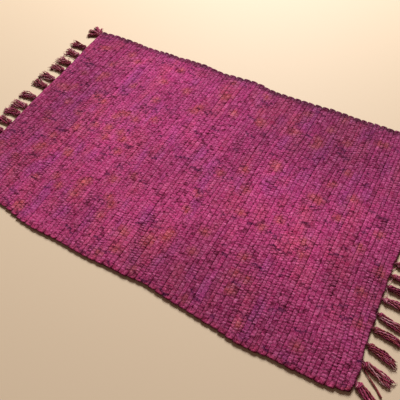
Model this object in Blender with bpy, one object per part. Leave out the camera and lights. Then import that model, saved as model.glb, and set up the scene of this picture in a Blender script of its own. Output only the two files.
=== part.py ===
"""A rag rug: a thick, weft-faced woven mat with looped selvedges, lying flat, with its warp ends
knotted into a row of tassels at each end.

Metres, +Z up. X runs along the rug's length, Y across it. The origin is the middle of the
underside, which lies on the floor at Z = 0.
"""

import math

import bmesh
import bpy
import numpy as np

# Driving dimensions
WOVEN_LENGTH = 1.000
WOVEN_WIDTH = 0.632
THICKNESS = 0.008  # two layers of rag with the warp between them
ROWS = 108  # weft rows along the length
GAP = 0.0003  # clearance between pieces that meet

# The ribbed face
ROW_PITCH = WOVEN_LENGTH / ROWS
GROOVE_DEPTH = 0.0025  # how far the valley between two rows lies below their crests
END_HEIGHT = 0.0042  # where the first and the last row round down at the ends
SWELL = 0.0006  # slow rise and fall of the face, as cloth on a floor has
SWELL_ALONG, SWELL_ACROSS = 0.36, 0.29  # from one rise to the next
WANDER = 0.0014  # how far a row strays from a straight line
WANDER_ALONG, WANDER_ACROSS = 0.47, 0.31  # from one stray to the next

# The selvedge: the weft turns round the outermost warp, so a loop stands out every two rows
STATIONS_PER_LOOP = 4  # a row has a valley and a crest, and a loop has two rows
LOOP_OUT = 0.0024  # how far a loop stands proud of the gap between two loops
TURN_UNDER = 0.0026  # how far the rounded rim draws in where it meets the floor
RIM = [  # across the rim: inset from its outermost line (mm), share of the full height
    {"inset": 0.0, "height": 0.46},
    {"inset": 3.4, "height": 0.90},
    {"inset": 8.5, "height": 1.00},
]

# How far each selvedge bulges out from a straight line (mm), at places along the length (mm)
SELVEDGE_BOW = [
    {"x": -500, "front": -7.0, "back": -6.0},
    {"x": -470, "front": -3.0, "back": -1.0},
    {"x": -400, "front": -2.5, "back": 1.5},
    {"x": -340, "front": -4.5, "back": -2.0},
    {"x": -240, "front": 7.5, "back": 2.0},
    {"x": -150, "front": 5.0, "back": 7.0},
    {"x": -90, "front": 6.0, "back": 0.0},
    {"x": 10, "front": 1.0, "back": 6.5},
    {"x": 70, "front": -4.0, "back": -2.5},
    {"x": 150, "front": 1.0, "back": -1.0},
    {"x": 240, "front": 4.5, "back": 4.5},
    {"x": 295, "front": 9.5, "back": 3.5},
    {"x": 380, "front": 2.5, "back": 8.0},
    {"x": 455, "front": -1.0, "back": 5.0},
    {"x": 500, "front": -14.0, "back": -4.0},
]

# How far each end stands out from a straight line (mm), at places across the width (mm) that lie
# between two tassels. The face's lines along the length stand at these places too
END_BOW = [
    {"y": -316, "left": -3.0, "right": -2.0},
    {"y": -256, "left": 0.5, "right": 3.0},
    {"y": -190, "left": 1.5, "right": -2.0},
    {"y": -95, "left": 0.0, "right": -1.0},
    {"y": 22, "left": 1.5, "right": 2.5},
    {"y": 135, "left": -1.0, "right": 1.0},
    {"y": 245, "left": 0.5, "right": 0.5},
    {"y": 316, "left": -2.5, "right": -3.0},
]

# The fringe. One row for each tassel: the place of its root across the width (mm), its lean from
# square with the end (degrees, towards +Y), its length and its width at the tips (mm), and how far
# its middle bends sideways (mm)
LEFT_TASSELS = [
    {"root": 297, "lean": 3, "length": 52, "tips": 25, "bend": 1.0},
    {"root": 227, "lean": 2, "length": 62, "tips": 16, "bend": -1.0},
    {"root": 190, "lean": 3, "length": 55, "tips": 18, "bend": 0.5},
    {"root": 149, "lean": 3, "length": 53, "tips": 17, "bend": -1.0},
    {"root": 118, "lean": 1, "length": 55, "tips": 16, "bend": 1.0},
    {"root": 75, "lean": 5, "length": 59, "tips": 17, "bend": -1.0},
    {"root": 42, "lean": 7, "length": 57, "tips": 16, "bend": -1.5},
    {"root": -4, "lean": -5, "length": 57, "tips": 18, "bend": 0.5},
    {"root": -41, "lean": -5, "length": 56, "tips": 16, "bend": 0.0},
    {"root": -72, "lean": -2, "length": 58, "tips": 16, "bend": 1.0},
    {"root": -107, "lean": 1, "length": 55, "tips": 18, "bend": -1.0},
    {"root": -139, "lean": 0, "length": 59, "tips": 17, "bend": 1.0},
    {"root": -173, "lean": 3, "length": 56, "tips": 17, "bend": -1.0},
    {"root": -207, "lean": -2, "length": 58, "tips": 19, "bend": 1.5},
    {"root": -241, "lean": -4, "length": 57, "tips": 17, "bend": 0.0},
    {"root": -271, "lean": -6, "length": 54, "tips": 17, "bend": -1.0},
    {"root": -297, "lean": -9, "length": 55, "tips": 18, "bend": 1.0},
]
RIGHT_TASSELS = [
    {"root": 295, "lean": 7, "length": 56, "tips": 18, "bend": -1.0},
    {"root": 262, "lean": 3, "length": 58, "tips": 17, "bend": 1.0},
    {"root": 225, "lean": -2, "length": 56, "tips": 18, "bend": 0.0},
    {"root": 189, "lean": 2, "length": 60, "tips": 17, "bend": -1.5},
    {"root": 153, "lean": 4, "length": 57, "tips": 18, "bend": 1.0},
    {"root": 118, "lean": -1, "length": 55, "tips": 16, "bend": 0.0},
    {"root": 82, "lean": 1, "length": 59, "tips": 18, "bend": 1.0},
    {"root": 46, "lean": -3, "length": 57, "tips": 17, "bend": -1.0},
    {"root": 10, "lean": 2, "length": 58, "tips": 17, "bend": 1.0},
    {"root": -26, "lean": 4, "length": 56, "tips": 17, "bend": -1.0},
    {"root": -55, "lean": 1, "length": 58, "tips": 15, "bend": 1.0},
    {"root": -82, "lean": 3, "length": 60, "tips": 15, "bend": -1.0},
    {"root": -111, "lean": 1, "length": 58, "tips": 16, "bend": 1.5},
    {"root": -143, "lean": -10, "length": 57, "tips": 17, "bend": -1.0},
    {"root": -174, "lean": -5, "length": 60, "tips": 16, "bend": 1.5},
    {"root": -207, "lean": -13, "length": 60, "tips": 17, "bend": 1.0},
    {"root": -242, "lean": -14, "length": 61, "tips": 18, "bend": 0.5},
    {"root": -280, "lean": -26, "length": 60, "tips": 19, "bend": 0.0},
]
STRAYS = [  # strands that lie apart from their tassel: how many, and how far they lean away
    {"side": 1, "root": -242, "strands": 2, "lean": 22},
]
STRAND_CELLS = 4  # a tassel's head has this many cells across, each with two strands
STRAND = 0.0024  # a strand's width and height
STRAND_SPREAD = 0.0124  # between the outermost strands' middles, a little past the knot
SHORTER = 0.004  # how much shorter than its tassel a strand may be
STRIP_DEPTH = 0.0030  # the strip in which the warp ends leave the cloth
STRIP_HEIGHT = 0.0050
STRIP_PAST = 0.0015  # how far it reaches past the outermost tassels' roots
ROOT_WIDTH = 0.018  # of the strip that runs together into one tassel
ROOT_CELLS = [ROOT_WIDTH * (k / STRAND_CELLS - 0.5) for k in range(STRAND_CELLS + 1)]
KNOT = [  # a tassel's head: distance from the strip, width, lowest and highest point (mm)
    {"out": 4.0, "width": 8.5, "low": 0.8, "high": 5.4},
    {"out": 9.5, "width": 13.5, "low": 0.0, "high": 8.2},
    {"out": 16.0, "width": 11.6, "low": 0.0, "high": 4.2},
]
KNOT_ROUND = 0.45  # how far a head's flanks drop from its middle, as a share of its height
STRAND_SECTIONS = [  # shares of the way from knot to tip, of the fanning out and of the bend
    {"along": 0.22, "fanned": 0.0, "bent": 0.3},
    {"along": 0.60, "fanned": 0.5, "bent": 1.0},
    {"along": 1.00, "fanned": 1.0, "bent": 0.5},
]

MM = 0.001
SEED = 5


# Curves through the tables

def eased(table, along, column, at):
    """Reads a column of a table at a place along it, easing from each row into the next."""
    i = sum(row[along] * MM < at for row in table[1:-1])
    low, high = table[i], table[i + 1]
    t = (at / MM - low[along]) / (high[along] - low[along])
    t = min(max(t, 0), 1)
    return (low[column] + (high[column] - low[column]) * t * t * (3 - 2 * t)) * MM


def end_line(side, y):
    """How far out the cloth's end stands at y: side is -1 at the left end and 1 at the right."""
    column = "right" if side > 0 else "left"
    places = [row["y"] * MM for row in END_BOW]
    return WOVEN_LENGTH / 2 + float(np.interp(y, places, [row[column] * MM for row in END_BOW]))


def row_line(x, y):
    """The place along the length of a point of the row that would stand at x if it ran straight."""
    share = x / (WOVEN_LENGTH / 2)
    side = math.copysign(1, share)
    out = end_line(side, y) - WOVEN_LENGTH / 2
    stray = WANDER * math.sin(2 * math.pi * (y / WANDER_ACROSS + x / WANDER_ALONG))
    return x + side * out * share**4 + stray * (1 - share**2)


def swell(x, y):
    """The slow rise and fall of the upper face."""
    along = math.sin(2 * math.pi * x / SWELL_ALONG + 1)
    return SWELL * along * math.cos(2 * math.pi * (y / SWELL_ACROSS + x))


# Blender helpers

def clear_scene():
    for obj in list(bpy.data.objects):
        bpy.data.objects.remove(obj, do_unlink=True)


def cotton(name, colour):
    """Dull cotton yarn of one colour."""
    material = bpy.data.materials.new(name)
    material.use_nodes = True
    shader = material.node_tree.nodes["Principled BSDF"]
    shader.inputs["Base Color"].default_value = (*colour, 1.0)
    shader.inputs["Roughness"].default_value = 0.9
    shader.inputs["Metallic"].default_value = 0.0
    return material


def object_from(bm, name, material, collection):
    mesh = bpy.data.meshes.new(name)
    bm.to_mesh(mesh)
    bm.free()
    mesh.materials.append(material)
    obj = bpy.data.objects.new(name, mesh)
    collection.objects.link(obj)
    return obj


# The woven mat

def section_across(front, back):
    """Points across the upper face, from selvedge to selvedge: place and share of full height."""
    front_rim = [(front + row["inset"] * MM, row["height"]) for row in RIM]
    inner = [(row["y"] * MM, 1.0) for row in END_BOW[1:-1]]
    back_rim = [(back - row["inset"] * MM, row["height"]) for row in reversed(RIM)]
    return front_rim + inner + back_rim


def selvedge(side, station, x):
    """How far out a selvedge stands: the straight line, its bow, and a loop every two rows."""
    column = "back" if side > 0 else "front"
    turn = station + (STATIONS_PER_LOOP / 2 if side > 0 else 0)  # the two sides take turns
    loop = LOOP_OUT * (abs(math.sin(math.pi * turn / STATIONS_PER_LOOP)) - 1)
    return WOVEN_WIDTH / 2 + eased(SELVEDGE_BOW, "x", column, x) + loop


def woven_mat(material, collection):
    """One flat solid: a grid of valleys and crests, its border brought down to a flat underside."""
    stations = 2 * ROWS
    columns = len(section_across(-WOVEN_WIDTH / 2, WOVEN_WIDTH / 2)) - 1
    bm = bmesh.new()
    bmesh.ops.create_grid(bm, x_segments=stations, y_segments=columns, size=0.5)
    top = sorted(bm.verts, key=lambda v: (round(v.co.x, 5), v.co.y))
    underside = bmesh.ops.extrude_face_region(bm, geom=bm.faces[:])["geom"]
    below = [g for g in underside if isinstance(g, bmesh.types.BMVert)]
    below.sort(key=lambda v: (round(v.co.x, 5), v.co.y))
    for station in range(stations + 1):
        x = (station - stations / 2) * ROW_PITCH / 2
        front, back = -selvedge(-1, station, x), selvedge(1, station, x)
        at_end = station in (0, stations)
        groove = 0 if station % 2 else GROOVE_DEPTH
        height = END_HEIGHT if at_end else THICKNESS - groove
        for column, (y, share) in enumerate(section_across(front, back)):
            lift = 0 if at_end else swell(x, y) * share
            under = TURN_UNDER * ((column == 0) - (column == columns))
            here = station * (columns + 1) + column
            top[here].co = (row_line(x, y), y, height * share + lift)
            below[here].co = (row_line(x, y + under), y + under, 0.0)
    # The underside is flat, so its lines along the length, between its two borders, can go
    flat = {f for f in bm.faces if all(v.co.z == 0 for v in f.verts)}
    lengthwise = [
        e for e in bm.edges
        if all(f in flat for f in e.link_faces)
        and abs(e.verts[0].co.x - e.verts[1].co.x) > abs(e.verts[0].co.y - e.verts[1].co.y)
    ]
    bmesh.ops.dissolve_edges(bm, edges=lengthwise, use_verts=True)
    bmesh.ops.recalc_face_normals(bm, faces=bm.faces[:])
    return object_from(bm, "woven_mat", material, collection)


# The fringe

def pulled(bm, faces, corners):
    """Extrudes a patch of faces as one. Returns its new faces, and its new corners in order."""
    made = bmesh.ops.extrude_face_region(bm, geom=faces)["geom"]
    match = {tuple(g.co): g for g in made if isinstance(g, bmesh.types.BMVert)}
    new_faces = [g for g in made if isinstance(g, bmesh.types.BMFace)]
    bmesh.ops.delete(bm, geom=[f for f in faces if f.is_valid], context="FACES")
    return new_faces, [match[tuple(corner.co)] for corner in corners]


def strip(side, tassels):
    """The strip along a cloth's end, as a grid of cells that stands on edge, then made deep."""
    lines = [row["y"] * MM for row in END_BOW[1:-1]]
    for row in tassels:
        lines += [row["root"] * MM + offset for offset in ROOT_CELLS]
    lines = sorted(lines + [min(lines) - STRIP_PAST, max(lines) + STRIP_PAST])
    bm = bmesh.new()
    bmesh.ops.create_grid(bm, x_segments=len(lines) - 1, y_segments=1, size=0.5)
    outer = sorted(bm.verts, key=lambda v: (round(v.co.x, 5), v.co.y))
    made = bmesh.ops.extrude_face_region(bm, geom=bm.faces[:])["geom"]
    inner = [g for g in made if isinstance(g, bmesh.types.BMVert)]
    inner.sort(key=lambda v: (round(v.co.x, 5), v.co.y))
    for i, y in enumerate(lines):
        near = end_line(side, y) + GAP
        for j, z in enumerate((0.0, STRIP_HEIGHT)):
            outer[2 * i + j].co = (side * (near + STRIP_DEPTH), y, z)
            inner[2 * i + j].co = (side * near, y, z)
    bmesh.ops.recalc_face_normals(bm, faces=bm.faces[:])
    return bm, lines, outer


def head_corners(ring, cells):
    """Corners of a head's section: its lower edge, then its upper edge, which is half a cell on."""
    across = np.arange(cells + 1) / cells - 0.5
    shift = 0.25 / cells
    width, low, high = (ring[key] * MM for key in ("width", "low", "high"))
    tall = high - low
    flank = KNOT_ROUND * tall * (2 * np.abs(across)) ** 2
    lower = [((a - shift) * width, low + 0.5 * f) for a, f in zip(across, flank)]
    upper = [((a + shift) * width, high - f) for a, f in zip(across, flank)]
    return lower + upper


def strand(bm, face, points_up, middles, placed):
    """Carries a root triangle along the floor; middles are pairs of distance out and sideways."""
    low, high = (0.0, STRAND) if points_up else (STRAND, 0.0)
    if points_up:
        section = [(-STRAND / 2, low), (STRAND / 2, low), (0.0, high)]
    else:
        section = [(-STRAND / 2, low), (0.0, high), (STRAND / 2, low)]
    for out, middle in middles:
        old = [tuple(v.co) for v in face.verts]
        face = bmesh.ops.extrude_discrete_faces(bm, faces=[face])["faces"][0]
        match = {tuple(v.co): v for v in face.verts}
        for place, (aside, z) in zip(old, section):
            match[place].co = placed(out, middle + aside, z)


def tassel(bm, side, row, lines, outer, rng):
    """Grows one tassel out of its cells of the strip: neck, knot, and two strands for each cell."""
    first = 2 * lines.index(row["root"] * MM + ROOT_CELLS[0])
    cells = outer[first:first + 2 * len(ROOT_CELLS)]
    corners = cells[0::2] + cells[1::2]
    faces = [f for f in bm.faces if all(v in corners for v in f.verts)]
    lean = math.radians(row["lean"])
    root = row["root"] * MM
    start = end_line(side, root) + GAP + STRIP_DEPTH

    def placed(out, sideways, z):
        """A point of the tassel, from its distance out, its place sideways and its height."""
        x = start + out * math.cos(lean) - sideways * math.sin(lean)
        return side * x, root + out * math.sin(lean) + sideways * math.cos(lean), z

    for ring in KNOT:
        faces, corners = pulled(bm, faces, corners)
        for corner, (sideways, z) in zip(corners, head_corners(ring, STRAND_CELLS)):
            corner.co = placed(ring["out"] * MM, sideways, z)

    # Each cell is cut from corner to corner, and each half grows into a three-sided strand
    low, high = corners[:STRAND_CELLS + 1], corners[STRAND_CELLS + 1:]
    bmesh.ops.delete(bm, geom=faces, context="FACES_ONLY")
    roots = []
    for k in range(STRAND_CELLS):
        roots.append(bm.faces.new((low[k], low[k + 1], high[k])))
        roots.append(bm.faces.new((high[k], low[k + 1], high[k + 1])))
    knot_end = KNOT[-1]["out"] * MM
    tips = row["tips"] * MM - STRAND
    strays = [s for s in STRAYS if (s["side"], s["root"]) == (side, row["root"])]
    for i, face in enumerate(roots):
        share = i / (len(roots) - 1) - 0.5
        reach = row["length"] * MM - SHORTER * rng.random() - knot_end
        apart = sum(math.tan(math.radians(s["lean"])) for s in strays if i < s["strands"])
        middles = []
        for section in STRAND_SECTIONS:
            gone = section["along"] * reach
            spread = STRAND_SPREAD + (tips - STRAND_SPREAD) * section["fanned"]
            bend = section["bent"] * row["bend"] * MM
            middles.append((knot_end + gone, share * spread + bend - apart * gone))
        strand(bm, face, i % 2 == 0, middles, placed)


def fringe(name, side, tassels, material, collection):
    """One body: the strip along the cloth's end with every tassel that grows from it."""
    bm, lines, outer = strip(side, tassels)
    rng = np.random.default_rng(SEED + side)
    for row in tassels:
        tassel(bm, side, row, lines, outer, rng)
    bmesh.ops.recalc_face_normals(bm, faces=bm.faces[:])
    return object_from(bm, name, material, collection)


def build():
    clear_scene()
    collection = bpy.data.collections.new("rag_rug")
    bpy.context.scene.collection.children.link(collection)
    woven_mat(cotton("rag weft", (0.36, 0.045, 0.13)), collection)
    warp = cotton("warp yarn", (0.16, 0.025, 0.06))
    fringe("fringe_left", -1, LEFT_TASSELS, warp, collection)
    fringe("fringe_right", 1, RIGHT_TASSELS, warp, collection)


build()
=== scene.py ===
# %% [markdown]
# # A rag rug, woven row by row
#
# The real rug is a weft-faced rag weave: thin cotton warp ends are held tight on a loom, and a thick
# weft of raspberry cotton rag is thrown through them, over one and under the next, and beaten down
# hard until it hides the warp. The warp ends are then knotted into tassels.
#
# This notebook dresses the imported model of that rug. Everything is in metres: X runs along the rug's
# length, Y across it, Z up, and the floor is Z = 0. The origin is the middle of the rug.

import math

import bpy
import numpy as np
from mathutils import Matrix, Vector


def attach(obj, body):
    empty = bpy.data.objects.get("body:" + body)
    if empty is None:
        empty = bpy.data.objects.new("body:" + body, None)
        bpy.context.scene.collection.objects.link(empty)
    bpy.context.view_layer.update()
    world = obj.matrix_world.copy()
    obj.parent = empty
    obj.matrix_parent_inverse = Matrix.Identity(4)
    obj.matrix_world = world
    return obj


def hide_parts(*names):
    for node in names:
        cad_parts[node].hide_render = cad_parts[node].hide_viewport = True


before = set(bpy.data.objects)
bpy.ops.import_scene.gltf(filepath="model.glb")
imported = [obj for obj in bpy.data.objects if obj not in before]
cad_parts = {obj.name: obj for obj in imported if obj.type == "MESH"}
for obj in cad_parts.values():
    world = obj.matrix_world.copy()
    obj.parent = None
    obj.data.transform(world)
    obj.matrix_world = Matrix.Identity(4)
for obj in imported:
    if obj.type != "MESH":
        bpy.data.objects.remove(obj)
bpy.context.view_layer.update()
print("packed nodes:", sorted(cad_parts))

# %% [markdown]
# ## The camera
#
# The photo looks down on the rug at 60 degrees, from its front and 34 degrees to the right. Its place
# and lens were worked out from the rug's own rectangle. A camera looks along its own -Z with +Y up in
# the picture, so its matrix has the picture's right, its up and the way back to the eye as columns.

# %% Camera
EYE = Vector((0.323, -0.4555, 0.791))
AZIMUTH, ELEVATION, ROLL = math.radians(34.126), math.radians(60.045), math.radians(-5.730)
LENS, SENSOR = 35.09, 36.0  # mm

back = Vector((
    math.sin(AZIMUTH) * math.cos(ELEVATION),
    -math.cos(AZIMUTH) * math.cos(ELEVATION),
    math.sin(ELEVATION),
))
level = Vector((math.cos(AZIMUTH), math.sin(AZIMUTH), 0.0))
upward = back.cross(level)
right = level * math.cos(ROLL) + upward * math.sin(ROLL)
up = upward * math.cos(ROLL) - level * math.sin(ROLL)

camera_data = bpy.data.cameras.new("camera")
camera_data.lens, camera_data.sensor_width = LENS, SENSOR
camera = bpy.data.objects.new("camera", camera_data)
camera.matrix_world = Matrix.Translation(EYE) @ Matrix((right, up, back)).transposed().to_4x4()
bpy.context.scene.collection.objects.link(camera)
bpy.context.scene.camera = camera
print("camera stands", round(EYE.z, 3), "m above the floor")

# %% [markdown]
# ## Small helpers
#
# Colours are written as the eye reads them, in sRGB hex, and one function turns them linear, which is
# what shaders work with. Slow random drift, used for everything that a hand does unevenly, is white
# noise blurred by a bell curve, with a fixed seed so that the rug is the same each run.

# %% Colour and drift
MM = 0.001
rng = np.random.default_rng(11)


def linear(hex_colour):
    """sRGB hex to linear RGB: each channel is scaled to 0..1 and its gamma curve undone."""
    srgb = np.array([int(hex_colour[i:i + 2], 16) for i in (1, 3, 5)]) / 255
    return np.where(srgb <= 0.04045, srgb / 12.92, ((srgb + 0.055) / 1.055) ** 2.4)


def blurred(values, widths):
    """Values blurred along each axis by a bell curve of that width: exp(-2 (pi f width)^2) of the
    waves of each frequency f is kept."""
    spectrum = np.fft.fftn(values)
    for axis, width in enumerate(widths):
        waves = np.fft.fftfreq(values.shape[axis])
        waves = waves.reshape([-1 if i == axis else 1 for i in range(values.ndim)])
        spectrum = spectrum * np.exp(-2 * (math.pi * waves * width) ** 2)
    return np.fft.ifftn(spectrum).real


def drift(shape, widths):
    """Blurred white noise, scaled to a mean of 0 and a spread of 1."""
    noise = blurred(rng.standard_normal(shape), widths)
    return (noise - noise.mean()) / noise.std()


def spots(shape, share, widths):
    """Soft spots: a share of the points, picked at random, each blurred to a bell. It is 1 in the middle
    of a spot and 0 far from all of them."""
    soft = blurred((rng.random(shape) < share).astype(float), widths)
    return np.clip(soft / np.prod([1 / (width * math.sqrt(2 * math.pi)) for width in widths]), 0, 1)


def ease(low, high, value):
    """0 below low, 1 above high, and a smooth S between: t * t * (3 - 2t). With low above high it
    falls instead."""
    t = np.clip((value - low) / (high - low), 0, 1)
    return t * t * (3 - 2 * t)


def mixed(under, over, share):
    """One colour laid over another by a share from 0 to 1, at each point."""
    return under + (over - under) * share[..., None]


print("the middle grey #808080 is", round(float(linear("#808080")[0]), 3), "in linear light")

# %% [markdown]
# ## Tubes
#
# Rag weft, warp yarn and loose threads are all the same kind of shape: a section carried along a
# path. So the whole rug comes from one mesh function, which takes every ring of every tube as a single
# array. Index arithmetic on whole arrays joins the rings, with no loop over vertices.


# %% A function for many tubes at once
def tubes(name, *groups):
    """One mesh of closed tubes, from groups of (rings, colours). rings[n, s, k] is point k of section
    s of tube n, counter-clockwise about the way the tube runs. Each section is joined to the next by
    four-sided faces, and a tube's first and last sections are its caps."""
    faces, triangles, first = [], 0, 0
    for rings, _ in groups:
        index = first + np.arange(rings[..., 0].size).reshape(rings.shape[:3])
        here, after = index[:, :-1], index[:, 1:]
        walls = np.stack([here, np.roll(here, -1, 2), np.roll(after, -1, 2), after], -1).reshape(-1, 4)
        caps = np.concatenate([index[:, 0, ::-1], index[:, -1]])
        faces += walls.tolist() + caps.tolist()
        triangles += len(walls) * 2 + len(caps) * (rings.shape[2] - 2)
        first += index.size
    mesh = bpy.data.meshes.new(name)
    mesh.from_pydata(np.concatenate([rings.reshape(-1, 3) for rings, _ in groups]), [], faces)
    shade = mesh.color_attributes.new("yarn_colour", "FLOAT_COLOR", "POINT")
    colours = np.concatenate([colours.reshape(-1, 3) for _, colours in groups])
    shade.data.foreach_set("color", np.hstack([colours, np.ones((first, 1))]).ravel())
    mesh.shade_smooth()
    piece = bpy.data.objects.new(name, mesh)
    bpy.context.scene.collection.objects.link(piece)
    print(name, "has", sum(len(rings) for rings, _ in groups), "tubes and", triangles, "triangles")
    return piece


# %% [markdown]
# ## The rug's own sizes
#
# These are the part's driving dimensions and tables, in millimetres where they say so: how far each
# selvedge and each end strays from a straight line. A hand-beaten cloth draws in where the weft was
# pulled tight and spreads where it wasn't.

# %% Outline of the cloth
WOVEN_LENGTH, WOVEN_WIDTH, THICKNESS = 1.000, 0.632, 0.008
ROWS = 108

SELVEDGE = np.array([  # along the length, and how far the front and back edges bulge out (mm)
    (-500, -7.0, -6.0), (-470, -3.0, -1.0), (-400, -2.5, 1.5), (-340, -4.5, -2.0),
    (-240, 7.5, 2.0), (-150, 5.0, 7.0), (-90, 6.0, 0.0), (10, 1.0, 6.5),
    (70, -4.0, -2.5), (150, 1.0, -1.0), (240, 4.5, 4.5), (295, 9.5, 3.5),
    (380, 2.5, 8.0), (450, -1.0, 5.0), (475, -4.0, 3.0), (488, -10.0, 0.0), (500, -21.0, -4.0),
], dtype=[("x", float), ("front", float), ("back", float)])

ENDS = np.array([  # across the width, and how far the left and right ends stand out (mm)
    (-316, -3.0, -2.0), (-256, 0.5, 3.0), (-190, 1.5, -2.0), (-95, 0.0, -1.0),
    (22, 1.5, 2.5), (135, -1.0, 1.0), (245, 0.5, 0.5), (316, -2.5, -3.0),
], dtype=[("y", float), ("left", float), ("right", float)])

LEAN = np.array([  # across the width, and how far rows lean to the right in each half of the rug (mm)
    (-316, -6.0, -8.5), (-160, -4.0, -6.0), (0, -1.0, -2.5), (100, 1.0, 1.5), (200, 4.0, 8.0),
    (316, 6.5, 14.0),
], dtype=[("y", float), ("left", float), ("right", float)])

STRAY, STRAY_ACROSS, STRAY_ALONG = 0.8 * MM, 0.31, 0.47  # a slow wave in the rows: height, and lengths


def bulge(edge, x):
    """The selvedge's bulge at x, eased from each row of the table into the next."""
    places, heights = SELVEDGE["x"] * MM, SELVEDGE[edge] * MM
    i = np.clip(np.searchsorted(places, x) - 1, 0, len(places) - 2)
    return heights[i] + (heights[i + 1] - heights[i]) * ease(places[i], places[i + 1], x)


def end_out(end, y):
    """How far an end stands out from a straight line at y, in straight runs between the rows."""
    return np.interp(y, ENDS["y"] * MM, ENDS[end] * MM)


def row_place(x, y):
    """Where a row that would lie at x comes to lie: it follows the ends near them, and in between it
    leans and strays by a slow wave. Share is x from -1 at the left end to 1 at the right one, and its
    4th and 6th powers keep the ends' shape to themselves."""
    share = x / (WOVEN_LENGTH / 2)
    out = np.where(share > 0, end_out("right", y), -end_out("left", y))
    on_left, on_right = [np.interp(y, LEAN["y"] * MM, LEAN[half] * MM) for half in ("left", "right")]
    lean = on_left + (on_right - on_left) * ease(-0.2, 0.1, x)
    stray = STRAY * np.sin(2 * math.pi * (y / STRAY_ACROSS + x / STRAY_ALONG))
    return x + out * share**4 + (lean + stray) * (1 - share**6)


print("the front selvedge bulges by up to", SELVEDGE["front"].max(), "mm")

# %% [markdown]
# ## The weft
#
# A loom opens two sheds in turn, so the odd rows go over the warp ends that the even rows go under.
# Each row is one tube, and the two sheds are the rug's two main pieces. Round ropes side by side would
# look like cord, but rag is soft: beaten against its neighbours it becomes a flat rib. So its section
# has six corners, its sides are pressed into the rows beside it, and it rises to a low bump over one
# warp end and falls to a dip under the next.

# %% Sizes of the weft
PAIRS = 98  # pairs of warp ends: each row goes over one end of a pair and under the other
PAIR_STEPS = 3  # sections of weft a pair: one low where it goes under, two high where it goes over
LAST = PAIRS * PAIR_STEPS  # the last section of a row's straight run
TURN = np.radians([90, 68, 45, 22])  # the sections of a turn at a selvedge
HALF_THICK = 3.1 * MM
RISE = 0.85 * MM  # of the weft's middle over a warp end, and its fall under the next
SIDE_RISE = 0.15  # the share of that which its sides follow
SPREAD = 0.5 * MM  # how far a bump's sides reach over the rows beside it
SQUEEZE = 0.2 * MM  # how far its other sides are pressed into them
CLOSED = 0.4  # how much higher its sides stand in a soft rib, in shares of HALF_THICK
DEEPER = 0.14  # and how much less in a groove

# The section of a rag weft that has been beaten flat against its neighbours: across, up
SECTION = np.array([
    (-1.00, 0.56), (-0.36, 0.93), (0.36, 0.93), (1.00, 0.56), (0.55, -0.93), (-0.55, -0.93),
])
RIGHT_WALL, BOTTOM_WALL, LEFT_WALL = 3, 4, 5  # walls of the section, after the three that look up
across, lift = SECTION.T
SIDE = np.abs(across) > 0.9
print("warp ends stand about", round(WOVEN_WIDTH / PAIRS / 2 / MM, 1), "mm apart")

# %% [markdown]
# ### Sections along each row
#
# All rows have the same number of sections, so they fit in one array, with an axis for the rows and
# one for the sections. The rows of the second shed are half a pair behind in their rise.
#
# At the selvedge the weft turns round the last warp end and comes back as the next row. So each tube
# ends in a quarter turn about the point where it meets its neighbour, and two of them make a loop.

# %% Where each section stands
row = np.arange(ROWS)[:, None]
angle = np.concatenate([TURN, np.zeros(LAST + 1), TURN[::-1]])[None, :]
STATIONS = angle.size
WHOLE, LINES = (ROWS, STATIONS), (ROWS + 1, STATIONS)
step = np.clip(np.arange(STATIONS) - len(TURN), 0, LAST)[None, :]
at_back = step > LAST / 2
rows_in, steps_in = np.minimum(row, ROWS - 1 - row), np.minimum(step, LAST - step)
steady = np.clip(steps_in / PAIR_STEPS, 0, 1)  # 0 in the turns, 1 from one pair in

# How many pairs of warp ends a section has passed, and which bump of its row it is on
passed = np.clip((step + 0.5 * (row % 2)) / PAIR_STEPS, 0, PAIRS)
passed = np.where(step == 0, 0, passed)
to_back, to_right = passed / PAIRS, row / ROWS  # 0 at the front and the left, 1 at the back and right
beat = passed + 0.5 * (row % 2)
bump_number = np.floor(beat + 0.01).astype(int)
is_over = beat - bump_number > 0.1

# Which way each row turns at each selvedge: 1 towards the row after it, -1 towards the one before
turn_back = np.where(row % 2 == 0, 1, -1)
turn_front = -turn_back
turn_front[0], turn_front[-1] = 1, -1  # the first and the last row have a lone end there
way = np.where(at_back, turn_back, turn_front)
loop = np.where(way > 0, row + 1, row)  # the line between rows that the loop turns about
print("each row has", STATIONS, "sections")

# %% [markdown]
# ### How evenly it was beaten
#
# No hand beats evenly. Rows are a little wider at the left end, and differ from one to the next. In
# some places they lie so close that bumps hardly show, and in others every dip is a dark dash; these
# come in clusters, and more at the ends, the selvedges and the near right corner. The line between two
# rows is mostly a soft rib, and here and there a deeper groove.

# %% Uneven rows
row_width = 1 - 0.1 * np.linspace(-1, 1, ROWS) + 0.05 * drift((ROWS,), (4,))
row_width = np.clip(row_width + 0.11 * rng.standard_normal(ROWS), 0.7, 1.35)
row_lines = (np.concatenate([[0], np.cumsum(row_width)]) / row_width.sum() - 0.5) * WOVEN_LENGTH


def each_bump():
    """A random number for each bump of each row, of spread 1, read at each section."""
    return np.take_along_axis(rng.standard_normal((ROWS, PAIRS + 2)), bump_number, axis=1)


# 0 where bumps hardly show, 1 where every dip is dark
open_weave = 0.9 * ease(0.9, 2.4, drift(WHOLE, (0.6, 9))) + 0.12 * drift(WHOLE, (5, 22))
open_weave = open_weave + 0.3 * ease(0.55, 1.0, to_right) * ease(0.5, 0.05, to_back)
open_weave = 0.12 + open_weave + 0.25 * ease(12, 1, rows_in) + 0.15 * ease(25, 3, steps_in)
open_weave = np.clip(open_weave, 0, 1)

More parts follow.
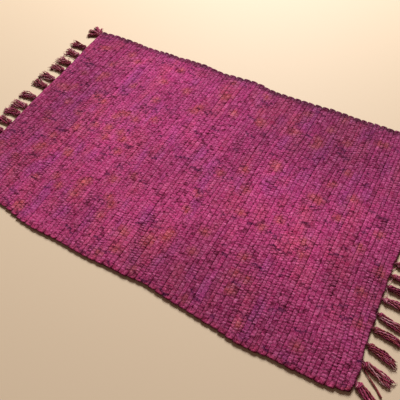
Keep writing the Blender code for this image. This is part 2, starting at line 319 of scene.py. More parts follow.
# Each line between two rows: 0 where they close up to a soft rib, 1 where a deep groove is left
line_depth = 0.7 * rng.standard_normal((ROWS + 1, 1)) + drift(LINES, (0.3, 14))
line_depth = ease(-0.2, 2.4, line_depth + 0.3 * drift(LINES, (0.3, 1)))
groove = SIDE * np.where(across > 0, line_depth[1:, :, None], line_depth[:-1, :, None])
print("rows are", round(float(WOVEN_LENGTH / ROWS / MM), 1), "mm wide on average, and",
      round(100 * float((open_weave > 0.5).mean())), "% of the weave is open")

# %% [markdown]
# ### Where each row runs
#
# A row runs from the point that it turns about at the front selvedge to the one at the back, and on
# the way it strays: slowly with its neighbours, faster on its own, and a little at each bump. The real
# loops are packed close at the front, and stand apart and uneven at the back.

# %% The run of each row, and its loops
LOOP_DEPTH = 6.0 * MM  # from the point that the weft turns about to the edge of the cloth
LOOP_UNEVEN = np.array([[0.3], [0.7]]) * MM  # how much loops differ in depth, at the front and the back
LOOP_SKEW = np.array([[0.4], [1.3]]) * MM  # and in how far their tips lean
LOOP_LEAN = 2.5 * MM  # how far all tips lean to the left

depth = LOOP_DEPTH + LOOP_UNEVEN * rng.standard_normal((2, ROWS + 1))
skew = LOOP_SKEW * rng.standard_normal((2, ROWS + 1)) - LOOP_LEAN
outward = np.where(at_back, 1, -1)
loop_bulge = np.where(at_back, bulge("back", row_lines[loop]), bulge("front", row_lines[loop]))
pivot = outward * (WOVEN_WIDTH / 2 + loop_bulge - LOOP_DEPTH)
pivot_front, pivot_back = pivot[:, :1], pivot[:, -1:]

run = pivot_front + (pivot_back - pivot_front) * passed / PAIRS
run = run + 0.8 * MM * steady * drift(WHOLE, (3, 20)) + 1.4 * MM * steady * drift(WHOLE, (0.4, 7))
run = run + steady * MM * (0.35 * rng.standard_normal(WHOLE) + 0.6 * np.clip(each_bump(), -1.4, 1.4))
print("rows are", round(float(run.max() - run.min()), 3), "m long between their turns")

# %% [markdown]
# ### The two sides of each row
#
# A row fills the room between its two lines. Its upper half is wider where it goes over a warp end and
# its lower half where it goes under, because the warp presses the rag out on the other side.

# %% Bumps and sides
FRONT_SPREAD = 0.9 * MM  # how much wider the front loops are on each side, so that they touch

# How far each bump rises and each dip falls, in shares of RISE: less in the first and the last row
high = np.clip(0.42 + 1.15 * open_weave + 0.2 * each_bump(), 0.0, 1.8)
high = high * np.where(rows_in == 0, 0.7, 1.0)
high = high * np.where(is_over, 1.0, -1.0) * steady

# How far the line between two rows strays. The first and the last line are the cloth's own ends
uneven = 0.4 * MM * drift(LINES, (0, 22)) + 0.15 * MM * drift(LINES, (0, 1.5))
uneven[0] = 0.5 * MM * drift((STATIONS,), (3,))
uneven[-1] = 1.0 * MM * drift((STATIONS,), (3,))

bulging = np.where(lift > 0, 1, -1) * np.where(is_over, 1, -1)[..., None] > 0
wider = np.where(bulging, SPREAD, SQUEEZE) * steady[..., None]
wider = wider + np.where(at_back, 0, FRONT_SPREAD * (1 - steady))[..., None]
left_side = (row_place(row_lines[row], run) + uneven[:-1])[..., None] - wider
right_side = (row_place(row_lines[row + 1], run) + uneven[1:])[..., None] + wider
width = right_side - left_side
print("the weft is", round(float(width.min()) / MM, 1), "to", round(float(width.max()) / MM, 1), "mm wide")

# %% [markdown]
# ### Turns and thickness
#
# Each point has a distance from the line that its loop turns about: its share of the row's width. In
# the straight run that distance lies along X. In the turn it swings round by the turn's angle, on a
# squared circle, whose points have (along X / width)^n + (along Y / depth)^n = 1. A round loop has
# n = 2, and a larger n makes it squarer, as at the front, where loops are packed side by side.

# %% Points of the weft
FRONT_SQUARE, BACK_SQUARE = 24.0, 2.8
LOOP_HOLE = 0.5 * MM  # half the gap inside a loop
SWELL, SWELL_ALONG, SWELL_ACROSS = 0.6 * MM, 0.36, 0.29  # the cloth's own slow waves: height, lengths

towards = way[..., None]
which = at_back.astype(int)
cosine, sine = np.cos(angle)[..., None], np.sin(angle)[..., None]
deep = depth[which, loop][..., None]
square = np.where(at_back, BACK_SQUARE, FRONT_SQUARE)[..., None]
rim = ((cosine / width) ** square + (sine / deep) ** square) ** (-1 / square)
hole = LOOP_HOLE * sine
away = hole + (1 - towards * across) / 2 * (rim - hole)
aside = skew[which, loop][..., None] * (away * sine / deep) ** 2
x = np.where(towards > 0, right_side, left_side) - towards * away * cosine + aside
y = run[..., None] + outward[..., None] * away * sine

# A point's height: the middle of the cloth, the row's rise, and the section scaled by its thickness,
# which is less towards a loop's tip
thick = HALF_THICK * (1 + 0.05 * drift(WHOLE, (0, 14))) * (1 - 0.05 * np.sin(angle))
thick = thick[..., None] * (1 - 0.25 * sine * (away / deep) ** 2)
raised = RISE * high[..., None] * np.where(SIDE, SIDE_RISE, 1.0)
rib = (CLOSED * SIDE - DEEPER * groove) * steady[..., None]
z = THICKNESS / 2 + raised + thick * (lift + rib)
swell = SWELL * np.sin(2 * math.pi * x / SWELL_ALONG + 1) * np.cos(2 * math.pi * (y / SWELL_ACROSS + x))
z = np.maximum(z, 0) * (1 + swell / THICKNESS)
weft_rings = np.stack([x, y, z], -1)
print("weft stands", round(float(z.max()) / MM, 1), "mm high")

# %% [markdown]
# ## The colours of the rag
#
# Old cotton cloth is cut in strips and sewn end to end, so colour changes along the strip and not
# across the rug. Most of it is raspberry, with long soft runs lighter and darker. Here and there a
# rosy red, a violet or a short rust-orange stretch comes through. The front half is painted redder, for
# the room's warm light thrown back onto it. The right corners get painted shade and the middle painted
# light, for how the light falls across the rug. An image could give all this, but colours worked out
# along the strip and stored on the mesh's points stay with the weave.

# %% Colours along the strip
RASPBERRY, ROSY, VIOLET = linear("#a8376f"), linear("#af3e63"), linear("#983e83")
RUST, PLUM, WINE = linear("#b0523c"), linear("#3a0832"), linear("#70083a")
DARK_WINE, RIM = linear("#500422"), linear("#3e1024")
# PALE also stands for painted highlight: on the tops of bumps and on the crests of creases, with wear
PALE = linear("#cc7aa4")  # where the top of a bump is worn


def patches(shade, colour, most, bounds, widths):
    """A colour laid over in soft patches: by nothing where a drift is below its first bound, and by the
    most share above its second. Widths are a patch's size in rows and sections."""
    return mixed(shade, colour, most * ease(*bounds, drift(WHOLE, widths)))


def along_strip(width):
    """Drift along the one long strip: every other row is read backwards."""
    strip = drift((ROWS * STATIONS,), (width,)).reshape(WHOLE)
    strip[1::2] = strip[1::2, ::-1]
    return strip


def paler(colour, amount):
    """A colour made paler, or deeper where the amount is below 0: all channels move by one step of what
    the eye reads, as cloth does where it is rubbed, so a deeper place is also a stronger red."""
    return np.clip(colour ** (1 / 2.2) + amount[..., None], 0.02, 1) ** 2.2


shade = patches(np.broadcast_to(RASPBERRY, (*WHOLE, 3)), ROSY, 0.7, (0.1, 1.7), (1.3, 13))
# painted light: the front half is made redder, for the room's warm light thrown back onto it
shade = mixed(shade, ROSY, 0.3 * ease(0.8, 0.2, to_back))
shade = patches(shade, VIOLET, 0.5, (0.3, 2.0), (1.0, 10))
shade = patches(shade, RUST, 0.18, (0.6, 2.2), (1.2, 9))
shade = mixed(shade, RUST, 0.6 * np.clip(1.6 * spots(WHOLE, 0.004, (0.7, 3.2)), 0, 1))

# How light the rag is, as a power of e. It drifts along the strip, differs from row to row and is less
# near the back selvedge; painted shade darkens the right corners and painted light brightens the middle
light = 0.05 * along_strip(30) + 0.035 * along_strip(6) + 0.055 * rng.standard_normal((ROWS, 1))
light = light - 0.14 * ease(34, 2, LAST - step)
# painted shade: the right corners, at the back and at the front
corners = 0.37 * ease(0.5, 0.95, to_back) + 0.28 * ease(0.45, 0.05, to_back)
light = light - 0.03 - corners * ease(0.25, 0.9, to_right) + 0.09 * drift(WHOLE, (7, 22))
# painted light: a pool of light over the middle of the rug
middle = ease(0.0, 0.45, to_back) * ease(1.0, 0.6, to_back)
light = light + 0.17 * middle * ease(0.05, 0.35, to_right) * ease(0.9, 0.5, to_right)
rubbed = 0.006 * each_bump() + 0.022 * rng.standard_normal(WHOLE)
shade = paler(shade * np.exp(light)[..., None], rubbed)
print("the rag's lightness varies by", round(float(light.std()), 2), "as a power of e")

# %% [markdown]
# ### Dips, selvedges and ends
#
# In a dip the wine-coloured warp and the shade between two rows show, so it is darker, and more so
# where the weave is open. The back loops are dark at the rim. The front ones are rosy, with painted
# shade on the outside towards the floor, which faces away from the light. The cloth's end sides show
# the wine of the warp. The tops of bumps are made pale, partly for wear and partly as painted
# highlight, and the grooves between rows are painted darker with wine, as their shade.

# %% Colours in the dips and at the edges
dip = ease(0.0, 2.6, 0.9 * each_bump() + 2.6 * open_weave - 0.7) * np.where(rows_in == 0, 0.6, 1.0)
dip = 0.26 + 0.62 * dip
shade = mixed(shade, WINE, np.where(is_over, 0.4 * np.clip(dip - 0.5, 0, 1), dip) * steady)
# the first rows at the left end are darker with wine: partly their own deeper colour, partly painted shade
# where the light falls off
shade = mixed(shade, WINE, 0.3 * ease(22, 0, row) * np.ones(WHOLE))
each_loop = 0.65 + 0.35 * rng.random(ROWS + 1)[loop]
shade = mixed(shade, RIM, np.where(at_back, each_loop * ease(7, 2.5, steps_in), 0))
shade = mixed(shade, ROSY, (1 - steady) * np.where(at_back, 0, 0.5))

# From here on each point of a section has a colour of its own
TOP = lift > 0.6
# the tops of bumps made paler: partly wear, partly painted highlight
worn_and_highlight = np.clip(0.12 + 0.1 * open_weave + 0.08 * each_bump(), 0, 0.5) * is_over * steady
shade = np.where(TOP[:, None], mixed(shade, PALE, worn_and_highlight)[:, :, None], shade[:, :, None])
# painted shade in the grooves between rows, darkened with wine
groove_painted_shade = 0.16 * groove + 0.08 * SIDE * rng.standard_normal((*WHOLE, 1))
shade = mixed(shade, WINE, np.clip(groove_painted_shade, 0, 1))

# painted shade on the outer side of the front loops, away from the light, most of all underneath
front_painted_shade = np.where(at_back, 0, 1 - steady)[..., None] * (towards * across < 0)
shade = mixed(shade, DARK_WINE, front_painted_shade * np.where(TOP, 0.3, np.where(lift > 0, 0.7, 0.9)))
end_side = (row == 0) * (across < -0.5) + (row == ROWS - 1) * (across > 0.5)
shade = mixed(shade, WINE, 0.6 * (end_side[:, None] * steady[..., None]))
print("dips are", round(100 * float(dip[~is_over].mean())), "% wine on average")

# %% [markdown]
# ### Dark marks
#
# Small dark plum and wine marks lie all over the rug, where a dark print in the cloth comes to the top.
# Each is about one bump long, and some go on through a few rows. They are drawn on half rows, because a
# real mark is often on one side of a rib only. The halves differ a little in colour too, and on some a
# fleck of dark wine shows.


# %% Marks on half rows
def dark_marks(count, most):
    """How dark each half of each section is, from 0 to 1. A mark starts at a random place and goes on
    into the next half rows, at most so many, a little aside in each, and is about one bump long in
    every one."""
    halves_on = np.arange(most)
    at_half = rng.integers(0, 2 * ROWS, (count, 1)) + halves_on
    at_step = rng.uniform(0, STATIONS, (count, 1)) + rng.normal(0, 0.4, (count, 1)) * halves_on
    at_step = at_step + rng.normal(0, 1.0, (count, most))
    strength = rng.uniform(0.8, 1.0, (count, 1)) * rng.uniform(0.6, 1.0, (count, most))
    strength = strength * (halves_on < 1 + most * rng.random((count, 1)) ** 1.5)
    dark = np.zeros((2 * ROWS, STATIONS))
    for sections_on, share in ((-1, 0.6), (0, 1.0), (1, 0.8)):
        half_row = np.clip(at_half, 0, 2 * ROWS - 1)
        section = np.clip(at_step + sections_on, 0, STATIONS - 1).astype(int)
        np.maximum.at(dark, (half_row, section), strength * share)
    return dark.reshape(ROWS, 2, STATIONS).swapaxes(1, 2)


half = (across > 0).astype(int)
shade = paler(shade, 0.034 * drift((*WHOLE, 2), (0, 0.4, 0))[..., half])
flecks = rng.random((*WHOLE, 2)) * (rng.random((*WHOLE, 2)) < 0.22) * steady[..., None]
shade = mixed(shade, DARK_WINE, flecks[..., half])
for colour, count, most in ((PLUM, 200, 7), (DARK_WINE, 620, 2)):
    shade = mixed(shade, colour, dark_marks(count, most)[..., half])
    print(count, "marks reach over up to", most, "half rows")
weft_colours = shade

# %% [markdown]
# ### The two sheds
#
# Every other row goes into one piece, and the rows between into the other. With smooth shading all
# round, light would bend over the sides that are hidden between two rows and draw a dark seam. So
# those walls are flat, and the light rolls over the ribs as over one cloth.


# %% The weft's two pieces
def rounded_walls(first):
    """Which walls of a shed's tubes are shaded round: all but the bottom and the sides between two rows.
    Walls come tube by tube, then section by section, then round the section."""
    round_off = np.ones((len(range(first, ROWS, 2)), STATIONS - 1, len(SECTION)), bool)
    straight = slice(len(TURN) + 1, -len(TURN) - 1)
    round_off[:, straight, [RIGHT_WALL, BOTTOM_WALL, LEFT_WALL]] = False
    if first == 0:
        round_off[0, straight, LEFT_WALL] = True  # the cloth's own left side
    else:
        round_off[-1, straight, RIGHT_WALL] = True  # and its right side
    return round_off.ravel()


weft = []
for first, shed in enumerate(("one", "two")):
    piece = tubes("weft_shed_" + shed, (weft_rings[first::2], weft_colours[first::2]))
    walls = rounded_walls(first)
    caps = np.ones(len(piece.data.polygons) - len(walls), bool)
    piece.data.polygons.foreach_set("use_smooth", np.concatenate([walls, caps]))
    weft.append(piece)

# %% [markdown]
# ## The fringe
#
# Where the cloth ends, a dozen warp yarns are gathered to a neck and tied in an overhand knot, which
# turns them about each other, and the rest hangs loose. A hair system would give hair, not yarn, so
# each yarn is a tube of its own, led through a bundle whose width and height a table gives, down the
# tassel. The first four bundles on the left are the branches of one tassel, which is spread out at
# the corner.

# %% Tassels: their places and their form
# Where each bundle starts (mm), its lean (degrees), length and width at the tips (mm), its bend to one
# side (mm) and how much of its yarn is lilac
COLUMNS = [(name, float) for name in ("root", "lean", "length", "tips", "bend", "lilac")]
LEFT = np.array([
    (296, -25, 42, 11, 1.0, 0.4), (297, 4, 47, 10, 1.0, 0.5), (298, 33, 46, 12, 0.0, 0.6),
    (298, 52, 29, 10, 0.0, 0.6), (227, 2, 60, 25, -1.0, 0.3), (190, 3, 54, 29, 0.5, 0.5),
    (149, 3, 54, 28, -1.0, 0.6), (118, 1, 55, 28, 1.0, 0.5), (75, 5, 58, 29, -1.0, 0.4),
    (42, 7, 56, 26, -1.5, 0.4), (-4, -5, 57, 27, 0.5, 0.3), (-41, -5, 55, 28, 0.0, 0.4),
    (-72, -2, 58, 29, 1.0, 0.5), (-107, 1, 55, 27, -1.0, 0.4), (-139, 0, 58, 26, 1.0, 0.5),
    (-173, 3, 56, 26, -1.0, 0.4), (-207, -2, 58, 27, 1.5, 0.5), (-241, -4, 57, 25, 0.0, 0.4),
    (-271, -6, 54, 25, -1.0, 0.5), (-297, -9, 55, 26, 1.0, 0.4),
], dtype=COLUMNS)
RIGHT = np.array([
    (295, 7, 56, 20, -1.0, 0.2), (262, 3, 58, 19, 1.0, 0.1), (225, -2, 56, 20, 0.0, 0.2),
    (189, 2, 60, 18, -1.5, 0.1), (153, 4, 57, 20, 1.0, 0.3), (118, -1, 55, 18, 0.0, 0.1),
    (82, 1, 59, 20, 1.0, 0.2), (46, -3, 57, 18, -1.0, 0.2), (10, 2, 58, 19, 1.0, 0.1),
    (-26, 4, 56, 18, -1.0, 0.2), (-55, 1, 58, 17, 1.0, 0.3), (-82, 3, 60, 18, -1.0, 0.1),
    (-111, 1, 58, 18, 1.5, 0.2), (-143, -10, 57, 19, -1.0, 0.3), (-174, -5, 60, 18, 1.5, 0.3),
    (-207, -13, 60, 20, 1.0, 0.3), (-242, -14, 61, 21, 0.5, 0.5), (-280, -26, 60, 23, 0.0, 0.9),
], dtype=COLUMNS)

# Down a tassel: how far out (mm, then a share of the way from the head to the tips), half the bundle's
# width (mm, then a share of its width at the tips, on the left where tassels flare and on the right
# where they taper), half its height and the height of its middle (mm)
BUNDLE = np.array([
    (-2.0, 0.0, 5.0, 0.00, 0.00, 1.0, 4.4), (2.0, 0.0, 2.3, 0.00, 0.00, 1.8, 4.6),
    (4.5, 0.0, 2.5, 0.00, 0.00, 2.0, 4.7), (9.0, 0.0, 0.0, 0.30, 0.34, 3.0, 4.9),
    (15.0, 0.0, 0.0, 0.28, 0.29, 2.6, 4.6), (20.0, 0.3, 0.0, 0.33, 0.36, 2.3, 4.3),
    (20.0, 0.7, 0.0, 0.42, 0.33, 1.9, 3.8), (20.0, 1.0, 0.0, 0.50, 0.24, 1.2, 2.9),
], dtype=[(name, float) for name in ("out", "share", "half", "flare", "taper", "tall", "middle")])
print("bundles of yarn:", len(LEFT), "on the left and", len(RIGHT), "on the right")

# %% [markdown]
# ### Yarn
#
# Each yarn is two plies twisted together, which is what makes the row of slanting ovals along it. So
# its section is two touching circles, and it turns as it goes. The plies come loose at the tips.

# %% Sections of yarn, and a section carried along a path
YARN = 1.75 * MM  # a two-ply yarn's half width
TWIST = 15 * MM  # for one whole turn, so an oval shows every 7.5 mm
YARN_STEPS = 34

# Two touching plies, each as five points of a circle, and the section of a single loose ply
ply = np.radians([-150, -75, 0, 75, 150])
one_ply = np.stack([0.5 + 0.5 * np.cos(ply), 0.5 * np.sin(ply)], -1)
TWO_PLY = np.concatenate([one_ply, -one_ply])
IN_FIRST = np.arange(len(TWO_PLY)) < len(one_ply)  # the points on the first ply
IN_FURROW = np.isin(np.arange(len(TWO_PLY)), (0, 4, 5, 9))  # those where the two plies meet
quarter = np.radians([0, 90, 180, 270])
ONE_PLY = np.stack([np.cos(quarter), np.sin(quarter)], -1)


def carried(path, radius, twist, section):
    """A section carried along each path. The way along is the path's slope, the first side is level
    and at right angles to it, and the section is turned by twist and scaled by radius."""
    way_on = np.gradient(path, axis=1)
    way_on = way_on / np.linalg.norm(way_on, axis=-1, keepdims=True)
    level_side = np.cross([0.0, 0.0, 1.0], way_on)
    level_side = level_side / np.linalg.norm(level_side, axis=-1, keepdims=True)
    top = np.cross(way_on, level_side)
    turned_cos, turned_sin = np.cos(twist)[..., None], np.sin(twist)[..., None]
    first = section[:, 0] * turned_cos - section[:, 1] * turned_sin
    second = section[:, 0] * turned_sin + section[:, 1] * turned_cos
    off_path = level_side[:, :, None] * first[..., None] + top[:, :, None] * second[..., None]
    return path[:, :, None] + radius[..., None, None] * off_path


def along(path):
    """How far along each path its points are."""
    gone = np.cumsum(np.linalg.norm(np.diff(path, axis=1), axis=-1), axis=1)
    return np.concatenate([np.zeros((len(path), 1)), gone], axis=1)


print("a yarn is", 2 * YARN / MM, "mm across its two plies")

# %% [markdown]
# ### Twelve yarns a tassel
#
# Eight yarns lie round the outside of the bundle and four inside. The knot turns them all about its
# middle, one way or the other. Past it they go on turning slowly and wander apart. So a yarn's path
# is an angle and a share of the way out, both worked out along its length.

# %% Paths of the yarns
HEAD_END = 20.0  # mm from the cloth: the end of the knotted head
KNOT_TURN = 2.6  # radians that the yarns turn about each other in the knot
SPIRAL, SPIRAL_LENGTH = 1.2, 40  # radians that they go on turning past it, and over how many mm
KNOT_START, KNOT_END = 3, 14  # mm from the cloth
INSIDE = 2.0  # mm: how far inside the cloth a yarn starts
ONE_TURN = 6.3  # radians, near enough for a random start
LOOSE_OVER = 18  # mm past the head, over which yarns come to wander freely

# What differs between the left end (-1) and the right end (1): the end's name, how unequal its yarns
# are in length (mm), how far they wander (mm) and the column of BUNDLE for their spread
END = {-1: "left", 1: "right"}
UNEQUAL = {-1: 12, 1: 6}
WANDER = {-1: 1.3, 1: 0.9}
FORM = {-1: "flare", 1: "taper"}

# Where each of the twelve yarns lies in the bundle: its share of the way out, and its angle
PLACE = np.array([(1.0, math.radians(45 * i + 10)) for i in range(8)]
                 + [(0.42, math.radians(90 * i + 30)) for i in range(4)])


def placed(side, bundle, out, sideways, z):
    """Points of each tassel (mm) in the rug's own place: out from the cloth, sideways and up."""
    lean = np.radians(bundle["lean"])[:, None, None]
    root = bundle["root"][:, None, None]
    start = WOVEN_LENGTH / MM / 2 + end_out(END[side], root * MM) / MM
    x = start + out * np.cos(lean) - sideways * np.sin(lean)
    y = root + out * np.sin(lean) + sideways * np.cos(lean)
    points = np.stack(np.broadcast_arrays(side * x, y, z), -1) * MM
    return points.reshape(-1, *points.shape[2:])


def bundle_at(bundle, length, out, column):
    """A column of BUNDLE at each place out along each yarn, eased from row to row of the table. The
    columns flare and taper are shares of the width at the tips, and half is added to them."""
    stops = BUNDLE["out"] + BUNDLE["share"] * (length - HEAD_END)
    heights = BUNDLE[column] + np.zeros(stops.shape)
    if column in ("flare", "taper"):
        heights = BUNDLE["half"] + heights * bundle["tips"][:, None, None]
    value = heights[..., :1] + np.zeros(out.shape)
    for i in range(stops.shape[-1] - 1):
        share = ease(stops[..., i:i + 1], stops[..., i + 1:i + 2], out)
        value = value + (heights[..., i + 1:i + 2] - heights[..., i:i + 1]) * share
    return value


def yarn_paths(side, bundle):
    """The middle of each yarn: its place in the bundle, turned by the knot, with a wander of its own."""
    count, yarns = len(bundle), len(PLACE)
    length = bundle["length"][:, None, None] - UNEQUAL[side] * rng.random((count, yarns, 1))
    out = -INSIDE + np.linspace(0, 1, YARN_STEPS + 1) * (length + INSIDE)
    knot_way = rng.choice([-1, 1], (count, 1, 1))
    turn = PLACE[:, 1:] + knot_way * KNOT_TURN * ease(KNOT_START, KNOT_END, out)
    turn = turn + rng.uniform(0, ONE_TURN, (count, 1, 1))
    turn = turn + knot_way * SPIRAL * (out - KNOT_END) / SPIRAL_LENGTH * ease(10, 18, out)
    loose = ease(HEAD_END, HEAD_END + LOOSE_OVER, out)
    wander = WANDER[side] * loose * drift((count, yarns, YARN_STEPS + 1), (0, 0, 5))
    bend = bundle["bend"][:, None, None] * np.sin(math.pi * np.clip((out - 10) / (length - 10), 0, 1))
    half_wide = bundle_at(bundle, length, out, FORM[side])
    half_tall = bundle_at(bundle, length, out, "tall")
    sideways = PLACE[:, :1] * np.cos(turn) * half_wide + wander + bend
    z = bundle_at(bundle, length, out, "middle") + PLACE[:, :1] * np.sin(turn) * half_tall
    z = z + 0.4 * loose * drift((count, yarns, YARN_STEPS + 1), (0, 0, 4))
    return placed(side, bundle, out, sideways, np.maximum(z, YARN / MM))


print("each tassel has", len(PLACE), "yarns")

# %% [markdown]
# ### Loose plies
#
# The tips are cut and never sealed, so single plies come away from the yarns and curl. A few are
# enough to break up the straight cut.

# %% Paths of the loose plies
FRAYS, FRAY_STEPS = 11, 9
FRAY = 0.65 * MM  # a loose ply's half width
LIE, ARCH, LIFTED = 5.2, 1.6, 2.2  # mm: how high they start, how much higher some do, and their tips


def fray_paths(side, bundle):
    """Loose plies at the tips. Each leaves the bundle at its own place and curves off and down, with t
    from 0 to 1 along it."""
    count = len(bundle)
    length, tips = bundle["length"][:, None, None], bundle["tips"][:, None, None]
    t = np.linspace(0, 1, FRAY_STEPS + 1)
    start = length * rng.uniform(0.55, 0.85, (count, FRAYS, 1))
    reach_on = length - start + rng.uniform(-4, 6, (count, FRAYS, 1))
    across_at = rng.uniform(-1, 1, (count, FRAYS, 1))
    spread = 0.36 * tips * across_at + (across_at * rng.uniform(0, 6, (count, FRAYS, 1))) * t**2
    curl = rng.uniform(-2.5, 2.5, (count, FRAYS, 1)) * np.sin(math.pi * t)
    rise = rng.uniform(0, 1, (count, FRAYS, 1))
    z = (LIE + ARCH * rise) * (1 - t**2) + LIFTED * rise * t + FRAY / MM
    return placed(side, bundle, start + reach_on * t, spread + curl, z)


print("and", FRAYS, "loose plies")

# %% [markdown]
# ### Stray ends
#
# A few warp ends went into no knot. On the right a brownish pair lies across to the next tassel and
# some short pale ends curl at the edge, and on the left thin ones loop back. Each is drawn by the few
# places that it passes, and its corners are cut off three times, which leaves a smooth curve.

# %% Stray ends
WARP_COLOURS = np.array([linear(h) for h in ("#601c2c", "#883c3c", "#a43c5e", "#bc687e", "#cc949a")])
DARK_YARN, BROWN, ROSE, LILAC = 0, 1, 3, 4  # places in that list

# Each end's side, its half width (mm), its colour and the places that it passes (mm)
STRAYS = [
    (1, 0.95, BROWN, [(498, -242, 5), (512, -255, 4), (529, -268, 3), (548, -281, 2)]),
    (1, 0.95, BROWN, [(498, -244, 5), (514, -258, 2), (530, -266, 3), (550, -282, 2)]),
    (1, 1.50, BROWN, [(540, -275, 2), (544, -279, 3), (547, -282, 3), (551, -283, 2)]),
    (1, 0.65, ROSE, [(500, -14, 5), (508, -22, 4), (508, -34, 2), (500, -40, 4)]),
    (1, 0.65, LILAC, [(500, -48, 5), (507, -60, 4), (506, -68, 2), (500, -75, 5)]),
    (1, 0.65, LILAC, [(499, -84, 6), (506, -92, 5), (509, -99, 2), (502, -104, 3)]),
    (-1, 0.65, ROSE, [(500, 196, 4), (534, 186, 6), (552, 172, 2), (540, 166, 2)]),
    (-1, 0.65, BROWN, [(500, 172, 4), (522, 178, 2), (526, 160, 3), (506, 158, 4)]),
    (-1, 0.65, LILAC, [(500, 60, 4), (522, 52, 3), (540, 58, 6), (548, 70, 2)]),
]
CORNER_CUTS = 3


def stray_ends(side):
    """The rings and colours of one side's stray ends. A corner is cut off at a quarter of the way to
    the places before and after it."""
    halves, tints, places = zip(*[end[1:] for end in STRAYS if end[0] == side])
    path = np.array(places) * MM
    for _ in range(CORNER_CUTS):
        before, after = path[:, :-1], path[:, 1:]
        cut = np.stack([0.75 * before + 0.25 * after, 0.25 * before + 0.75 * after], 2)
        path = np.concatenate([path[:, :1], cut.reshape(len(path), -1, 3), path[:, -1:]], axis=1)
    path = path * [side, 1, 1]
    half_width = np.array(halves)[:, None] * MM * np.ones(path.shape[:2])
    rings = carried(path, half_width, along(path) / TWIST, ONE_PLY)
    return rings, np.broadcast_to(WARP_COLOURS[list(tints)][:, None, None], rings.shape)


print("stray ends:", len(STRAYS))

# %% [markdown]
# ### The fringe's pieces
#
# The warp is a mix of wine, brown, raspberry and lilac yarns. In two yarns of five the plies are of
# different colours, and in the rest they are nearly alike. The furrow between the plies, the underside
# and the neck next to the cloth lie in shade, and on a yarn this thin that shade is painted into the
# colour, because the render's light alone would lose it.

# %% Mix the colours and make both fringes
YARN_SHARES = (0.30, 0.25, 0.25, 0.14, 0.06)  # how much of the yarn is of each colour of the warp
PLY_SHARES = (0.20, 0.35, 0.20, 0.15, 0.10)  # and of the loose plies
FURROW_SHADE = 0.45  # how light the furrow between the plies is


def warp_mix(bundle, strands, shares):
    """A colour of the warp for each strand of each tassel. Lilac tassels draw from the list's end."""
    lilac = 0.5 * bundle["lilac"][:, None]
    draw = rng.random((len(bundle), strands)) * (1 - lilac) + lilac
    picked = np.searchsorted(np.cumsum(shares), draw).clip(0, len(WARP_COLOURS) - 1)
    return WARP_COLOURS[picked].reshape(-1, 3)


def fringe(name, side, bundle):
    """One end's fringe: its yarns, each swelling past the cloth and pinched at its tip, its loose plies
    and its stray ends, all in one piece."""
    path = yarn_paths(side, bundle)
    gone = along(path)
    phase = rng.uniform(0, math.pi, (len(path), 1))
    thick = YARN * (0.6 + 0.4 * ease(4 * MM, 14 * MM, gone))
    thick = thick * (1 - 0.6 * ease(0.95, 1.0, gone / gone[:, -1:]))
    points = carried(path, thick, 2 * math.pi * gone / TWIST + phase, TWO_PLY)
    first, second = [warp_mix(bundle, len(PLACE), YARN_SHARES) for _ in range(2)]
    second = mixed(second, first, 0.8 * (rng.random(len(first)) < 0.6))
    colour = np.where(IN_FIRST[:, None], first[:, None, None], second[:, None, None])
    colour = np.broadcast_to(colour, points.shape) * np.where(IN_FURROW, FURROW_SHADE, 1.0)[:, None]
    # painted shade on the underside and at the neck next to the cloth
    low = ease(6.0 * MM, 2.0 * MM, points[..., 2]) + 0.9 * ease(12 * MM, 3 * MM, gone)[..., None]
    colour = mixed(colour, 0.35 * WARP_COLOURS[DARK_YARN], np.clip(0.45 * low, 0, 0.8))

    loose = fray_paths(side, bundle)
    thin = FRAY * (1 - 0.6 * np.linspace(0, 1, FRAY_STEPS + 1) ** 3) * np.ones((len(loose), 1))
    fray = carried(loose, thin, along(loose) / TWIST, ONE_PLY)
    fray_colour = np.broadcast_to(warp_mix(bundle, FRAYS, PLY_SHARES)[:, None, None], fray.shape)
    return tubes(name, (points, colour), (fray, fray_colour), stray_ends(side))


fringes = [fringe("fringe_yarn_left", -1, LEFT), fringe("fringe_yarn_right", 1, RIGHT)]

# %% [markdown]
# ## Cotton
#
# Both finishes are cotton: dull, so almost all light is scattered and hardly any mirrored, with a faint
# bloom of fine hairs that catches light at a low angle, which is what sheen gives. The rag is woven
# cloth, cut and crushed, so it has creases, and the warp is spun yarn, with fibres of its own. A noise
# gives them bumps, and is also painted into the colour: darker in the hollows, as painted shade and
# uneven tone, and paler on the crests, as painted highlight and wear. Real creases are finer than the
# picture can show, so those of the rag are drawn 1.8 by 2.4 mm in size and those of the warp 0.7 mm.


# %% Materials
def add(tree, kind, settings=(), links=()):
    """Adds a node, sets its sockets and properties by name, and links other nodes' outputs to it."""
    node = tree.nodes.new(kind)
    for key, value in dict(settings).items():
        if key in node.inputs:
            node.inputs[key].default_value = value
        else:
            setattr(node, key, value)
    for socket, output in dict(links).items():
        tree.links.new(output, node.inputs[socket])
    return node


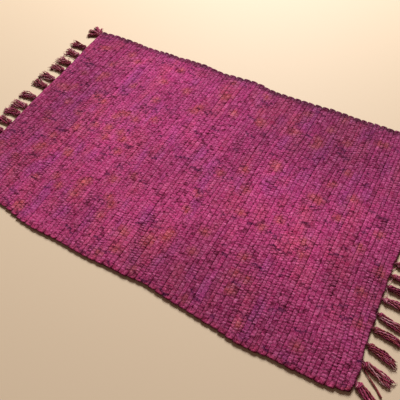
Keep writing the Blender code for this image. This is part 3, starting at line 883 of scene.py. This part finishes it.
def cotton(name, crease, depth):
    """Cotton: colour from the mesh, with creases of the given size and depth in metres. Noise gives the
    creases and their bump: low values are painted darker, as shade in the hollows and uneven tone, and
    high values paler, as highlight and wear on the crests."""
    material = bpy.data.materials.new(name)
    material.use_nodes = True
    tree = material.node_tree
    shader = tree.nodes["Principled BSDF"]
    shader.inputs["Roughness"].default_value = 0.92
    shader.inputs["Specular IOR Level"].default_value = 0.03
    shader.inputs["Sheen Weight"].default_value = 0.04
    shader.inputs["Sheen Roughness"].default_value = 0.5
    place = add(tree, "ShaderNodeTexCoord").outputs["Object"]
    stretch = add(tree, "ShaderNodeMapping", {"Scale": [1 / size for size in crease]}, {"Vector": place})
    folds = add(tree, "ShaderNodeTexNoise", {"Scale": 1.0, "Detail": 3.0}, {"Vector": stretch.outputs[0]})
    fold = folds.outputs["Fac"]
    colour = add(tree, "ShaderNodeAttribute", {"attribute_name": "yarn_colour"}).outputs["Color"]
    # painted shade: low noise darkens the crease hollows, along with the cloth's uneven tone
    hollow = {"From Min": 0.3, "From Max": 0.6, "To Min": 0.42, "To Max": 1.24}
    mottle = add(tree, "ShaderNodeMapRange", hollow, {"Value": fold})
    dark = add(tree, "ShaderNodeVectorMath", {"operation": "SCALE"},
               {"Vector": colour, "Scale": mottle.outputs[0]})
    # painted highlight: high noise makes the crease crests paler, along with wear
    crest = {"From Min": 0.5, "From Max": 0.7, "To Min": 0.0, "To Max": 0.2}
    worn_and_highlight = add(tree, "ShaderNodeMapRange", crest, {"Value": fold})
    tint = add(tree, "ShaderNodeMixRGB", {"Color2": (*PALE, 1)},
               {"Fac": worn_and_highlight.outputs[0], "Color1": dark.outputs[0]})
    bump = add(tree, "ShaderNodeBump", {"Strength": 0.6, "Distance": depth}, {"Height": fold})
    tree.links.new(tint.outputs[0], shader.inputs["Base Color"])
    tree.links.new(bump.outputs[0], shader.inputs["Normal"])
    print("material", name)
    return material


rag = cotton("cotton_rag", (1.8 * MM, 2.4 * MM, 1.8 * MM), 0.5 * MM)
yarn = cotton("cotton_warp_yarn", (0.7 * MM, 0.7 * MM, 0.7 * MM), 0.25 * MM)
for piece in weft:
    piece.data.materials.append(rag)
for piece in fringes:
    piece.data.materials.append(yarn)

# %% [markdown]
# ## Floor and light
#
# A plain pale floor, and soft daylight from a large window behind the rug, to the left, so that the
# front selvedge throws a narrow soft shadow, as in the photo. A dim lamp at the ceiling and a faint
# warm fill from all round stand for what the room's walls send back.

# %% Stage
FLOOR_REACH = 6.0
FILL_COLOUR, FILL_STRENGTH = (1.0, 0.55, 0.42, 1), 0.10  # what comes from all round

floor_mesh = bpy.data.meshes.new("floor")
corners = [(sx * FLOOR_REACH, sy * FLOOR_REACH, 0) for sx, sy in ((-1, -1), (1, -1), (1, 1), (-1, 1))]
floor_mesh.from_pydata(corners, [], [(0, 1, 2, 3)])
floor = bpy.data.objects.new("floor", floor_mesh)
bpy.context.scene.collection.objects.link(floor)
pale = bpy.data.materials.new("pale_matt_floor")
pale.use_nodes = True
pale.node_tree.nodes["Principled BSDF"].inputs["Base Color"].default_value = (*linear("#d4c0a2"), 1)
pale.node_tree.nodes["Principled BSDF"].inputs["Roughness"].default_value = 0.7
floor_mesh.materials.append(pale)


def area_light(name, place, aim, size, watts, colour):
    """A round lamp of that size across, at its place, turned to face the point that it aims at."""
    data = bpy.data.lights.new(name, "AREA")
    data.shape, data.size, data.energy, data.color = "DISK", size, watts, colour
    light = bpy.data.objects.new(name, data)
    light.location = place
    light.rotation_euler = (Vector(aim) - Vector(place)).to_track_quat("-Z", "Y").to_euler()
    bpy.context.scene.collection.objects.link(light)
    print("light", name, "of", watts, "W")


area_light("window", place=(-1.1, 3.2, 2.7), aim=(-0.2, 0.05, 0), size=1.9, watts=314,
           colour=(1.0, 0.98, 0.99))
area_light("ceiling", place=(-0.6, -0.4, 2.6), aim=(0, 0, 0), size=2.5, watts=3, colour=(1.0, 0.9, 0.8))
world = bpy.data.worlds.new("room")
world.use_nodes = True
world.node_tree.nodes["Background"].inputs["Color"].default_value = FILL_COLOUR
world.node_tree.nodes["Background"].inputs["Strength"].default_value = FILL_STRENGTH
bpy.context.scene.world = world
bpy.context.scene.view_settings.view_transform = "Standard"

# %% [markdown]
# ## Pieces on the body
#
# Each piece rides on the rug's one body, and the imported solid that it stands for is hidden. The rug is
# one sheet of cloth, 0.632 by 1.000 m, laid flat.

# %% Attach the pieces and hide the imported parts
for piece in weft:
    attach(piece, "root")
    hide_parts("woven_mat")
for piece, node in zip(fringes, ("fringe_left", "fringe_right")):
    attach(piece, "root")
    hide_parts(node)
